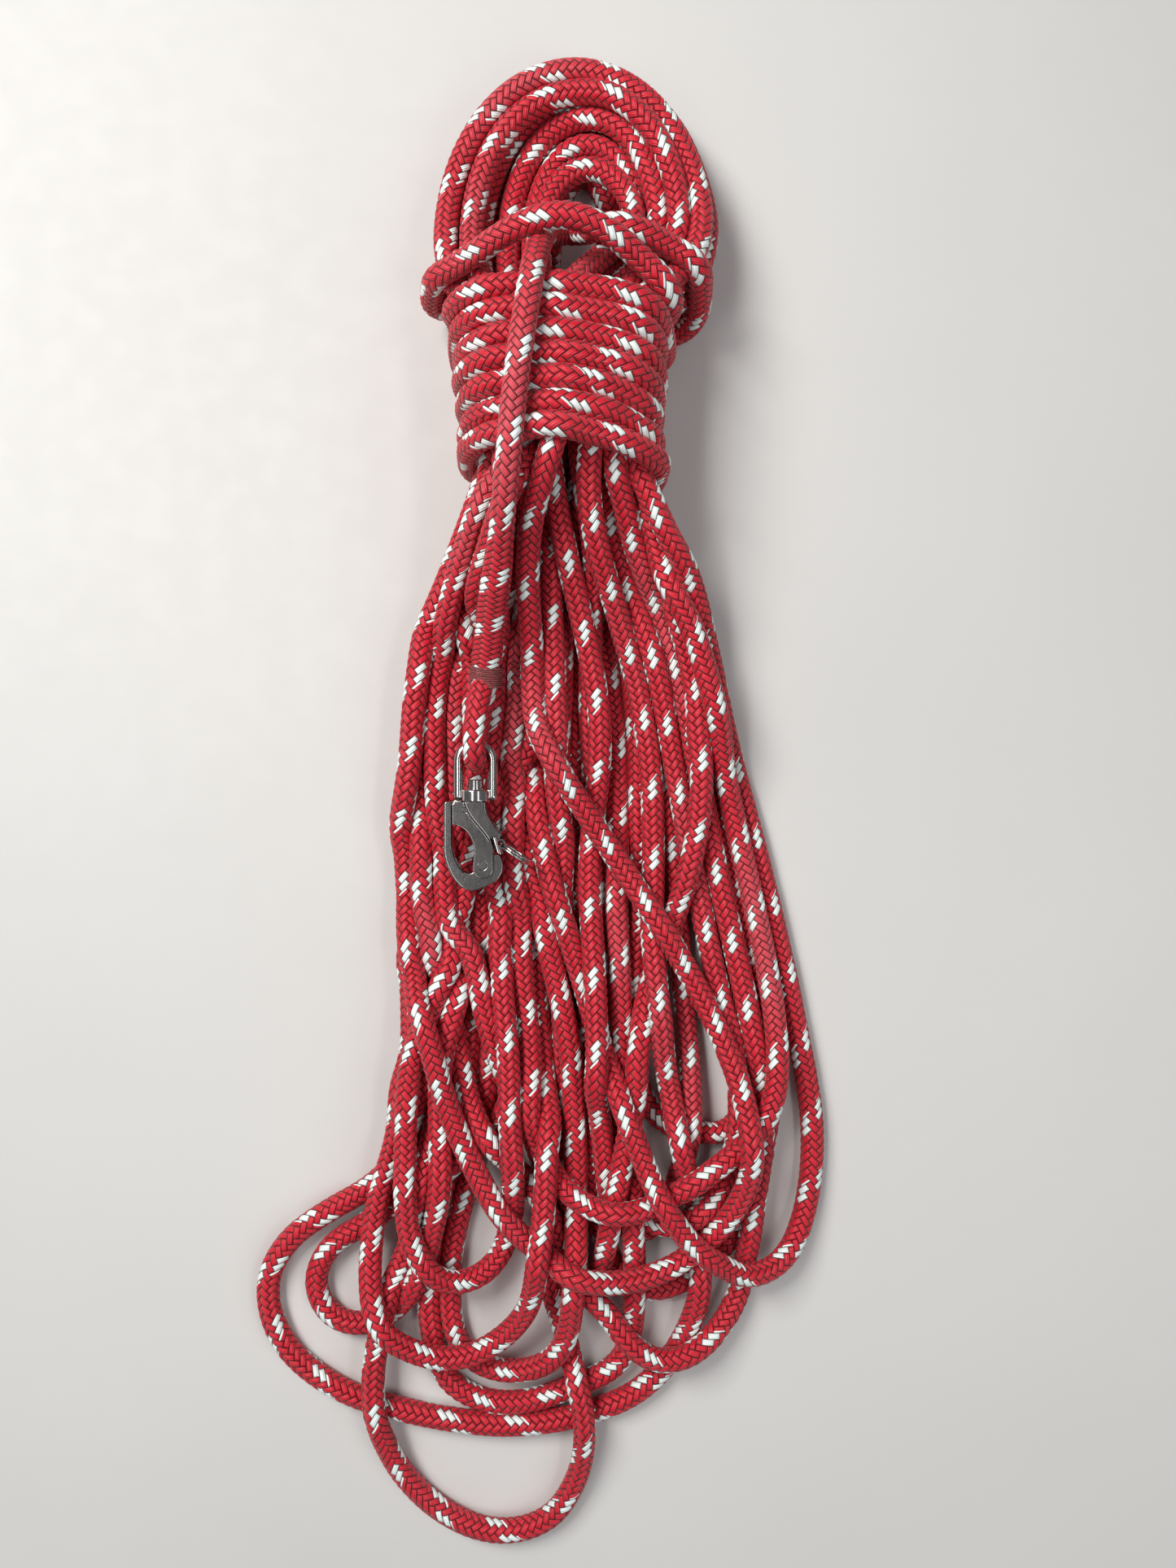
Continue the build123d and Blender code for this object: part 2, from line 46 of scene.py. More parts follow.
camera_data = bpy.data.cameras.new("camera")
camera_data.lens = 27.05
camera_data.sensor_width = 36.0
camera = bpy.data.objects.new("camera", camera_data)
bpy.context.scene.collection.objects.link(camera)
camera.location = (0.0255, 0.020, 0.632)
bpy.context.scene.camera = camera

# ---- The line's sizes ----

LINE_D = 0.012
EYE_D = 0.0112
THROAT_D = 0.015
SECTION_POINTS = 24  # mesh points round the line
RING_SPACING = 0.0015  # between the mesh's rings, along the line
ROUTE_STEPS, LINE_STEPS = 8, 6  # points per control point, on the drawn route and on the settled line
ROWS_PER_METRE = 1 / 0.00455  # rows of the braid
THROAT_FROM = 0.103  # where the splice's throat begins, along the line from its buried end
THROAT_ROWS = 1.55  # times as many rows in the splice's throat, where the cover is bunched
COLUMNS = 8  # carriers side by side round the line, each way
CARRIER_RISE = 0.00042  # how far a carrier's crown stands above the valley beside it
FLOOR_Z = LINE_D / 2 + 0.0002

# ---- The line's route: the splice, tail and locking turns, from the eye back to the wraps ----

EYE = [
    (-0.0252, 0.0760, 0.0395),
    (-0.0245, 0.0690, 0.0372),
    (-0.0300, 0.0550, 0.0320),
    (-0.0310, 0.0450, 0.0310),
    (-0.0310, 0.0363, 0.0310),
    (-0.0310, 0.0310, 0.0363),
    (-0.0310, 0.0310, 0.0437),
    (-0.0310, 0.0363, 0.0490),
    (-0.0310, 0.0450, 0.0490),
    (-0.0300, 0.0550, 0.0482),
    (-0.0275, 0.0690, 0.0428),
]
THROAT = [
    (-0.0250, 0.0820, 0.0435),
    (-0.0220, 0.1020, 0.0535),
    (-0.0180, 0.1230, 0.0690),
]
TAIL = [
    (-0.016, 0.135, 0.079),
    (-0.014, 0.147, 0.089),
    (-0.011, 0.167, 0.100),
    (-0.009, 0.188, 0.103),
    (-0.006, 0.213, 0.1035),
    (-0.002, 0.240, 0.1020),
    (0.0014, 0.266, 0.0890),
    (0.0035, 0.281, 0.0740),
]
INTO_HEAD = [(0.005, 0.290, 0.059), (0.009, 0.294, 0.047), (0.018, 0.296, 0.046), (0.026, 0.292, 0.056)]
LOCKING_INNER = [
    (0.032, 0.288, 0.070),
    (0.042, 0.287, 0.077),
    (0.060, 0.282, 0.069),
    (0.0755, 0.276, 0.052),
    (0.0825, 0.268, 0.034),
]
BEHIND_NECK = [
    (0.081, 0.263, 0.018),
    (0.066, 0.260, 0.008),
    (0.036, 0.260, 0.0065),
    (0.000, 0.262, 0.0065),
    (-0.034, 0.266, 0.009),
    (-0.050, 0.268, 0.022),
]
LOCKING = [
    (-0.0525, 0.2685, 0.040),
    (-0.0440, 0.2695, 0.057),
    (-0.0290, 0.2730, 0.074),
    (-0.0080, 0.2810, 0.0870),
    (0.0130, 0.2845, 0.0925),
    (0.0310, 0.2800, 0.0900),
    (0.0470, 0.2710, 0.0810),
    (0.0600, 0.2605, 0.0650),
    (0.0670, 0.2515, 0.0490),
]

# ---- The wraps: turns round the neck of the hank, from the head end down ----

WRAPS = 7
WRAP_TOP_Y, WRAP_PITCH, WRAP_ARCH = 0.2510, 0.0111, 0.0070
NECK_X, NECK_Z = 0.012, 0.0475
WRAP_STEPS = 16


def wrap_points():
    """From the right side under the neck to the left, then arched over the top and down one pitch."""
    points = []
    for step in range(4, WRAPS * WRAP_STEPS + 4):
        turn, part = divmod(step / WRAP_STEPS, 1.0)
        angle = -2 * math.pi * part
        taper = turn / WRAPS
        half_width = 0.0505 - 0.0080 * taper + 0.0012 * math.sin(2.3 * turn)
        half_height = 0.0412 - 0.0015 * abs(taper - 0.5)
        across = math.copysign(abs(math.cos(angle)) ** 0.62, math.cos(angle))
        up = math.copysign(abs(math.sin(angle)) ** 0.62, math.sin(angle))
        over = max(0.0, 2 * part - 1)
        y = WRAP_TOP_Y - WRAP_PITCH * (turn + over) + WRAP_ARCH * max(0.0, math.sin(angle)) ** 2
        points.append((NECK_X + half_width * across, y, NECK_Z + half_height * up))
    return points


# ---- The coil: strands of the skirt, bights at its foot, and arcs round the head ----

ROW_Y = (0.150, 0.096, 0.043, -0.019, -0.082, -0.120)
LAYER_Z = (
    (0.024, 0.010, 0.0065, 0.0065, 0.0065, 0.0065),
    (0.042, 0.026, 0.0190, 0.0180, 0.0170, 0.0160),
    (0.060, 0.042, 0.0320, 0.0300, 0.0280, 0.0260),
)
STAGGER = (0.0, 0.0036, 0.0018)  # so that turns of one layer cross over one another
# Each turn: the strand that goes down, the bight, and the strand that comes back up. A strand has its
# layer and where it crosses five rows of the skirt, from the neck to the foot, in millimetres. A bight
# has how many lines it lies over and its points, and then come the head's nest and layer.
TURNS = [
    ((2, -36, -65, -67, -60, -52), 4,
     [(-47, -142), (-40, -162), (-26, -191), (-9, -214), (12, -228), (31, -234), (50, -235), (69, -230),
      (82, -222), (101, -201), (110, -177), (107, -146)],
     (2, -6, -1, 41, 81, 99), (3, 2)),
    ((1, 7, 7, 12, 12, 12), 2,
     [(12, -146), (12, -177), (12, -211), (13, -237), (18, -254), (28, -250), (34, -228), (39, -198),
      (45, -168), (49, -142)],
     (2, 52, 86, 81, 58, 50), (0, 0)),
    ((1, -34, -60, -57, -50, -42), 2,
     [(-38, -142), (-30, -159), (-15, -179), (-1, -193), (8, -210), (22, -241), (35, -254), (46, -270),
      (58, -281), (73, -281), (89, -273), (101, -259), (107, -245), (109, -224), (112, -198), (117, -168),
      (117, -142)],
     (2, 46, 79, 91, 106, 113), (1, 3)),
    ((2, -18, -19, 2, 23, 33), 5,
     [(36, -129), (49, -159), (57, -181), (67, -199), (78, -215), (90, -224), (107, -238), (131, -232),
      (143, -202), (145.5, -162), (140, -128)],
     (2, 58, 99, 116, 131, 138), (0, 3)),
    ((0, -26, -37, -50, -62, -63), 1,
     [(-60, -142), (-66, -162), (-74, -178), (-89, -194), (-112, -206), (-135, -222), (-147, -246),
      (-138, -278), (-108, -302), (-72, -313), (-32, -320), (8, -319), (44, -308), (61, -296), (76, -277),
      (82, -259), (85, -244), (84, -220), (80, -194), (75, -170), (69, -142)],
     (2, 23, 58, 60, 60, 64), (2, 2)),
    ((0, -3, -22, -26, -31, -37), 1,
     [(-40, -142), (-46, -168), (-53, -194), (-59, -228), (-59, -258), (-55, -287), (-44, -302),
      (-22, -310), (-1, -307), (16, -300), (33, -294), (44, -286), (49, -271), (50, -251), (50, -228),
      (49, -202), (47, -168)],
     (1, 16, 45, 38, 42, 45), (2, 1)),
    ((0, -1, -31, -52, -62, -67), 4,
     [(-69, -142), (-75, -168), (-83, -192), (-87, -211), (-88, -238), (-83, -259), (-71, -271),
      (-53, -280), (-34, -279), (-18, -269), (-6, -255), (-1, -238), (2, -215), (4, -189), (2, -159)],
     (0, 14, 12, 1, -5, 1), (2, 0)),
    ((0, 1, -14, -19, -22, -27), 2,
     [(-28, -142), (-34, -168), (-39, -194), (-47, -224), (-50, -254), (-44, -278), (-30, -290),
      (-10, -291), (7, -283), (16, -267), (18, -245), (19, -220), (19, -185), (18, -151)],
     (2, -21, -26, -7, 9, 17), (3, 1)),
    ((2, 10, 34, 25, 29, 31), 1,
     [(32, -151), (35, -181), (40, -207), (55, -220), (68, -209), (75, -185), (80, -155)],
     (1, 43, 65, 71, 75, 79), (1, 2)),
    ((1, -16, -10, -15, -9, -4), 3,
     [(-4, -142), (-1, -161), (6, -181), (16, -192), (30, -198), (44, -199), (57, -198), (72, -189),
      (89, -178), (111, -162), (121, -144)],
     (2, 54, 92, 107, 121, 124), (0, 2)),
    ((1, -20, -28, -36, -56, -66), 3,
     [(-68, -142), (-68, -168), (-67, -192), (-67, -209), (-60, -227), (-51, -238), (-38, -241),
      (-25, -235), (-17, -222), (-13, -202), (-13, -181), (-14, -155)],
     (1, -26, -31, -29, -21, -15), (4, 3)),
    ((1, 29, 25, 33, 37, 37), 1,
     [(37, -155), (38, -181), (43, -200), (55, -211), (72, -211), (87, -202), (98, -185), (104, -164),
      (105, -144)],
     (2, 35, 69, 80, 92, 103), (1, 1)),
    ((0, -14, -47, -54, -56, -57), 2,
     [(-57, -142), (-56, -164), (-58, -185), (-64, -211), (-71, -235), (-80, -256), (-87, -284),
      (-87, -302), (-84, -320), (-74, -345), (-54, -366), (-24, -379), (6, -372), (20, -349), (24, -329),
      (24, -308), (19, -290), (10, -260), (4, -232), (6, -210), (7, -195), (1, -178), (-7, -159),
      (-15, -138)],
     (2, -31, -53, -49, -32, -22), (4, 0)),
    ((0, 37, 50, 54, 50, 46), 0,
     [(46, -129), (52, -142), (58, -152), (67, -161), (82, -165), (98, -166), (108, -155), (113, -138)],
     (0, 48, 75, 86, 99, 111), (1, 0)),
    ((1, -9, -43, -43, -44, -50), 2,
     [(-52, -138), (-51, -159), (-51, -185), (-55, -211), (-61, -230), (-70, -250), (-82, -264),
      (-99, -268), (-114, -261), (-121, -243), (-112, -224), (-93, -214), (-80, -204), (-61, -192),
      (-40, -174), (-22, -161), (-12, -142)],
     (0, 3, -10, -20, -18, -9), (3, 0)),
    ((0, 18, 17, 16, 24, 27), 0,
     [(26, -168), (28, -202), (35, -232), (50, -249), (72, -247), (92, -232), (108, -211), (118, -181),
      (122, -146)],
     (1, 50, 84, 99, 113, 120), (0, 1)),
]
BITTER_END = [(0.004, 0.232, 0.030), (-0.012, 0.205, 0.042)]
HEAD_BASE_Y, HEAD_FOOT_Y = 0.296, 0.270
NEST_X = (0.0180, 0.0200, 0.0235, 0.0260, 0.0260)
NEST_HALF_WIDTH = (0.0605, 0.0495, 0.0380, 0.0285, 0.0205)
NEST_TIP_Y = (0.3760, 0.3670, 0.3570, 0.3440, 0.3300)
RIGHT_FOOT = ((0.84, 0.271), (0.80, 0.273), (0.72, 0.277), (0.62, 0.283), (0.42, 0.286))
RIGHT_EXIT_X = (0.042, 0.033, 0.024, 0.015, 0.008)


def strand_points(strand, stagger=0.0):
    """From the neck to the foot of the skirt, as points in metres."""
    layer, *x = strand
    crossings = [x[0], 0.42 * x[0] + 0.58 * x[1] + 0.06 * (x[1] - 17), *x[1:]]
    return [(cx / 1000, y, z + stagger) for cx, y, z in zip(crossings, ROW_Y, LAYER_Z[layer])]


def bight_points(lies_over, places):
    return [(x / 1000, y / 1000, FLOOR_Z + 0.0042 * lies_over) for x, y in places]


def head_points(nest, layer):
    """Up the right side of the head, round its tip and down its left side."""
    between = 0.0045 * (layer % 2)  # every other layer lies in the gaps of the one below
    half_width = NEST_HALF_WIDTH[nest] + between + 0.0010 * (3 - layer)
    rise = NEST_TIP_Y[nest] + 0.6 * between + 0.0045 * (3 - layer) - HEAD_BASE_Y
    middle = NEST_X[nest]
    z = 0.0065 + 0.0121 * layer
    points = [(middle + RIGHT_FOOT[nest][0] * half_width, RIGHT_FOOT[nest][1], z)]
    for step in range(9):
        angle = math.pi * step / 8
        points.append((middle + half_width * math.cos(angle), HEAD_BASE_Y + rise * math.sin(angle), z))
    points.append((middle - 0.96 * half_width, HEAD_FOOT_Y, z))
    return points


def neck_points(strand_end, head_end, exit_x=None):
    """Halfway through the wraps and out of them, gathered towards the middle of the neck."""
    x = NECK_X + 0.62 * ((strand_end[0] + head_end[0]) / 2 - NECK_X)
    z = min(NECK_Z + 0.75 * ((strand_end[2] + head_end[2]) / 2 - 0.030), 0.074)
    if exit_x is None:
        exit_x = NECK_X + 0.62 * (head_end[0] - NECK_X)
    return [(x, 0.200, z), (exit_x, 0.248, z + 0.25 * (head_end[2] - z))]


def coil_points():
    points = list(BITTER_END)
    for index, (down, lies_over, places, up, (nest, layer)) in enumerate(TURNS):
        points += strand_points(down, STAGGER[index % 3])
        points += bight_points(lies_over, places)
        rising = strand_points(up, STAGGER[(index + 1) % 3])[::-1]
        arc = head_points(nest, layer)
        points += rising + neck_points(rising[-1], arc[0], RIGHT_EXIT_X[nest]) + arc
        if index + 1 < len(TURNS):
            falling = strand_points(TURNS[index + 1][0], STAGGER[(index + 1) % 3])
            points += neck_points(falling[0], arc[-1])[::-1]
    return points


INTO_NECK = [
    (0.0540, 0.1720, 0.0420),
    (0.0520, 0.1700, 0.0250),
    (0.0380, 0.1720, 0.0140),
    (0.0200, 0.1800, 0.0160),
    (-0.0100, 0.2050, 0.0240),
    (-0.0280, 0.2400, 0.0300),
]


def spline_points(points, per_point):
    """The points of a smooth NURBS line that has these as its control points."""
    curve = bpy.data.curves.new("route", "CURVE")
    curve.dimensions = "3D"
    curve.resolution_u = per_point
    spline = curve.splines.new("NURBS")
    spline.points.add(len(points) - 1)
    flat = np.ones((len(points), 4))
    flat[:, :3] = points
    spline.points.foreach_set("co", flat.ravel())
    spline.order_u = 3
    spline.use_endpoint_u = True
    holder = bpy.data.objects.new("route", curve)
    mesh = bpy.data.meshes.new_from_object(holder)
    co = np.empty(len(mesh.vertices) * 3)
    mesh.vertices.foreach_get("co", co)
    bpy.data.objects.remove(holder)
    bpy.data.curves.remove(curve)
    bpy.data.meshes.remove(mesh)
    return co.reshape(-1, 3)


def length_of(points):
    return float(np.linalg.norm(np.diff(points, axis=0), axis=1).sum())


def evenly(points, spacing):
    """The same line with its points an even distance apart."""
    steps = np.linalg.norm(np.diff(points, axis=0), axis=1)
    along = np.concatenate([[0.0], np.cumsum(steps)])
    wanted = np.linspace(0.0, along[-1], int(round(along[-1] / spacing)) + 1)
    return np.column_stack([np.interp(wanted, along, points[:, axis]) for axis in range(3)])


# ---- Settling: the line comes to rest on the floor, on itself and clear of the shackle ----

SETTLE_SPACING, SETTLE_STEPS = 0.006, 360
SEARCH_EVERY, SEARCH_BEYOND = 15, 0.006  # steps between looks for touching turns, and how far past contact
SINK = 0.00022  # how far the line sinks in the first step, and less in each later one
RIDE_OVER = 0.3  # share of a sideways push that is kept where one turn rides over another
SMOOTHING, PULL_BACK = 0.22, 0.030  # shares of the move that are evened out and undone in a step
CEILING_ASIDE, CEILING_BEYOND = 1.2, 0.8  # how steeply a low room's ceiling rises past its edges
TAUT_GIVE = 0.12  # how readily the tail, the locking turns and the wraps move, beside the coil
PUSH = (0.9, 0.9, 1.4)
SAME_LEVEL = 0.0028  # turns further apart in height than this ride over one another, and don't spread
CONTACT_D = 0.0117  # the cover gives a little where two turns press
TOUCHING_POINTS_APART = 5
SHANK_X, SHANK_Z, SHANK_Y, SHANK_END = -0.031, 0.040, (-0.040, 0.020), 0.030
SHANK_CLEARANCE = 0.0174 + LINE_D / 2 + 0.0003
# Rooms under the eye and round the shackle: middle x, half width, from y, to y, highest centreline
LOW_ROOMS = ((-0.031, 0.0200, 0.012, 0.084, 0.0190), (-0.036, 0.0400, -0.080, 0.008, 0.0225))


def near_pairs(points, reach):
    """Pairs of points closer than reach that aren't neighbours along the line."""
    flat = points.astype(np.float32)
    square = (flat * flat).sum(1)
    first, second = [], []
    block = 512
    for start in range(0, len(flat), block):
        part = flat[start : start + block]
        gaps = square[start : start + block, None] + square[None, :] - 2 * part @ flat.T
        i, j = np.nonzero(gaps < reach * reach)
        i += start
        keep = j - i >= TOUCHING_POINTS_APART
        first.append(i[keep])
        second.append(j[keep])
    return np.concatenate(first), np.concatenate(second)


def settle(points, held, taut):
    """Position-based rope: keeps its length and its drawn bends, and stacks under its own weight."""
    start = points.copy()
    lengths = np.linalg.norm(np.diff(points, axis=0), axis=1)
    free = np.ones(len(points))
    free[:taut] = TAUT_GIVE
    free[:held] = 0.0
    count = len(points)
    for step in range(SETTLE_STEPS):
        if step % SEARCH_EVERY == 0:
            first, second = near_pairs(points, CONTACT_D + SEARCH_BEYOND)
        late = step / SETTLE_STEPS
        points[:, 2] -= SINK * (1 - late) * free
        for _ in range(2):
            apart = points[second] - points[first]
            press = 0.5 * np.maximum(0.0, CONTACT_D - np.linalg.norm(apart, axis=1))
            level = np.abs(apart[:, 2]) < SAME_LEVEL
            apart[:, :2] *= np.where(level, 1.0, RIDE_OVER)[:, None]
            push = apart * (press / (np.linalg.norm(apart, axis=1) + 1e-9))[:, None]
            weight = np.bincount(first, press > 0, count) + np.bincount(second, press > 0, count)
            for axis in range(3):
                moved = np.bincount(second, push[:, axis], count) - np.bincount(
                    first, push[:, axis], count
                )
                points[:, axis] += free * moved * PUSH[axis] / np.maximum(1.0, 0.5 * weight)
        # The swivelling shackle's room, with rounded ends
        past = np.maximum(np.maximum(SHANK_Y[0] - points[:, 1], points[:, 1] - SHANK_Y[1]), 0.0)
        room = SHANK_CLEARANCE * np.sqrt(np.maximum(0.0, 1 - (past / SHANK_END) ** 2))
        out = points[:, [0, 2]] - np.array([SHANK_X, SHANK_Z])
        radius = np.linalg.norm(out, axis=1)
        inside = (free > 0) & (radius < room)
        scale = np.where(inside, room / np.maximum(radius, 1e-6), 1.0)
        points[:, 0] = SHANK_X + out[:, 0] * scale
        points[:, 2] = SHANK_Z + out[:, 1] * scale
        # Turns stay low under the eye and where the jaw and the ring swing
        for middle, half, low_y, high_y, highest in LOW_ROOMS:
            aside = np.maximum(np.abs(points[:, 0] - middle) - half, 0.0)
            beyond = np.maximum(np.maximum(low_y - points[:, 1], points[:, 1] - high_y), 0.0)
            ceiling = highest + CEILING_ASIDE * aside + CEILING_BEYOND * beyond
            np.minimum(points[:, 2], ceiling, out=points[:, 2], where=free == 1.0)
        np.maximum(points[:, 2], FLOOR_Z, out=points[:, 2], where=free > 0)
        # Smooth what has moved, so the drawn bends stay, and draw it gently back to where it lay
        shift = points - start
        mean = shift.copy()
        mean[1:-1] = (shift[:-2] + shift[2:]) / 2
        shift += SMOOTHING * (mean - shift) * free[:, None]
        shift[:, :2] *= 1 - PULL_BACK * free[:, None]
        points = start + shift
        for parity in (0, 1, 0):
            a = np.arange(parity, count - 1, 2)
            edge = points[a + 1] - points[a]
            length = np.linalg.norm(edge, axis=1)
            stretch = (edge * ((length - lengths[a]) / length)[:, None]) * 0.5
            points[a] += stretch * free[a][:, None]
            points[a + 1] -= stretch * free[a + 1][:, None]
        np.maximum(points[:, 2], FLOOR_Z, out=points[:, 2], where=free > 0)
    return points


lead = EYE + THROAT + TAIL
rest = INTO_HEAD + LOCKING_INNER + BEHIND_NECK + LOCKING + wrap_points() + INTO_NECK
route = np.array(lead + rest + coil_points()[::-1])
drawn = evenly(spline_points(route, ROUTE_STEPS), SETTLE_SPACING)
taut_length = length_of(spline_points(np.array(lead + rest[: -len(INTO_NECK)]), ROUTE_STEPS))
eye_length = length_of(spline_points(np.array(EYE + THROAT), ROUTE_STEPS))
settled = settle(drawn, int(eye_length / SETTLE_SPACING), int(taut_length / SETTLE_SPACING))
line = evenly(spline_points(settled, LINE_STEPS), RING_SPACING)
line_length = length_of(line)


# ---- The line's mesh: a braided cover whose carriers stand proud ----


def smooth_step(values, low, high):
    part = np.clip((values - low) / (high - low), 0.0, 1.0)
    return part * part * (3 - 2 * part)


def rotation_free_frames(points):
    """Two directions square to the line at each point, which don't spin about it."""
    tangents = np.gradient(points, axis=0)
    tangents /= np.linalg.norm(tangents, axis=1)[:, None]
    side = Vector((1.0, 0.0, 0.0))
    sides = np.empty_like(points)
    for index, tangent in enumerate(map(Vector, tangents.tolist())):
        side = (side - tangent * side.dot(tangent)).normalized()
        sides[index] = side
    return sides, np.cross(tangents, sides)


def braid_height(columns, rows):
    """Height of the carriers over two, under two, from 0 in a valley to 1 on a crown."""
    right, left = rows - columns, rows + columns
    height = np.zeros_like(right)
    for across, along_carrier, shift in ((right, left, 1.0), (left, right, 2.0)):
        carrier = np.floor(across)
        reach = np.mod(along_carrier - carrier, 4.0) - shift
        ends = np.maximum(0.0, 1 - reach**4)
        sides = 1 - np.abs(2 * (across - carrier) - 1) ** 3
        height = np.maximum(height, ends * sides)
    return height


def rope_mesh(name, centre, radius, row_scale, roll):
    """The braided tube, with its weave and bake maps."""
    rings, around = len(centre), SECTION_POINTS
    sides, ups = rotation_free_frames(centre)
    steps = np.linalg.norm(np.diff(centre, axis=0), axis=1)
    rows = 16 + np.concatenate([[0.0], np.cumsum(steps * ROWS_PER_METRE * row_scale[1:])])
    share = np.arange(around) / around
    height = braid_height(COLUMNS * share[None, :], rows[:, None])
    angles = 2 * np.pi * share[None, :] + roll[:, None]
    reach = (radius - CARRIER_RISE)[:, None] + CARRIER_RISE * 1.4 * height
    verts = centre[:, None, :] + reach[..., None] * (
        np.cos(angles)[..., None] * sides[:, None, :] + np.sin(angles)[..., None] * ups[:, None, :]
    )
    ring, spoke = np.meshgrid(np.arange(rings - 1), np.arange(around), indexing="ij")
    beyond = (spoke + 1) % around
    quads = np.stack(
        [ring * around + spoke, ring * around + beyond, (ring + 1) * around + beyond,
         (ring + 1) * around + spoke], axis=-1
    ).reshape(-1, 4)
    mesh = bpy.data.meshes.new(name)
    mesh.vertices.add(rings * around)
    mesh.vertices.foreach_set("co", verts.ravel())
    mesh.loops.add(quads.size + 2 * around)
    caps = np.concatenate([np.arange(around)[::-1], (rings - 1) * around + np.arange(around)])
    mesh.loops.foreach_set("vertex_index", np.concatenate([quads.ravel(), caps]).astype(np.int32))
    mesh.polygons.add(len(quads) + 2)
    starts = np.concatenate([np.arange(len(quads) + 1) * 4, [quads.size + around]])
    mesh.polygons.foreach_set("loop_start", starts.astype(np.int32))
    mesh.update(calc_edges=True)
    mesh.polygons.foreach_set("use_smooth", np.ones(len(quads) + 2, dtype=bool))
    corner_ring = np.stack([ring, ring, ring + 1, ring + 1], axis=-1).reshape(-1)
    corner_spoke = np.stack([spoke, spoke + 1, spoke + 1, spoke], axis=-1).reshape(-1)
    weave = np.zeros((quads.size + 2 * around, 2))
    weave[: quads.size, 0] = corner_spoke / around
    weave[: quads.size, 1] = rows[corner_ring] / COLUMNS
    weave[quads.size :, 1] = np.repeat([rows[0], rows[-1]], around) / COLUMNS
    # The bake map cuts the line into strips that lie side by side and fill a square
    strips = max(1, round(math.sqrt(line_length / (math.pi * LINE_D))))
    per_strip = math.ceil((rings - 1) / strips)
    quad_strip = np.repeat((ring // per_strip).reshape(-1), 4)
    bake = np.zeros_like(weave)
    bake[: quads.size, 0] = (quad_strip + 0.03 + 0.94 * corner_spoke / around) / strips
    bake[: quads.size, 1] = 0.002 + 0.996 * (corner_ring - quad_strip * per_strip) / per_strip
    for layer_name, values in (("OFBake", bake), ("weave", weave)):
        layer = mesh.uv_layers.new(name=layer_name)
        layer.data.foreach_set("uv", values.astype(np.float32).ravel())
    mesh.validate()
    piece = bpy.data.objects.new(name, mesh)
    bpy.context.scene.collection.objects.link(piece)
    return piece


along = np.concatenate([[0.0], np.cumsum(np.linalg.norm(np.diff(line, axis=0), axis=1))])
in_throat = smooth_step(along, THROAT_FROM - 0.004, THROAT_FROM + 0.004)
past_throat = smooth_step(along, eye_length - 0.012, eye_length + 0.022)
bunched = in_throat * (1 - past_throat)
eye_part = 1 - in_throat
radius = LINE_D / 2 + bunched * (THROAT_D - LINE_D) / 2 - eye_part * (LINE_D - EYE_D) / 2
radius *= 1 + 0.012 * np.sin(9.1 * along) + 0.010 * np.sin(23.7 * along + 1.3)
end_taper = smooth_step(along[-1] - along, -0.002, 0.004)
radius *= 0.35 + 0.65 * end_taper
roll = 0.9 * np.sin(1.7 * along) + 0.6 * np.sin(4.3 * along + 2.0) + 0.35 * along
rope = rope_mesh("braided_line", line, radius, 1 + (THROAT_ROWS - 1) * bunched, roll)

# ---- Materials ----


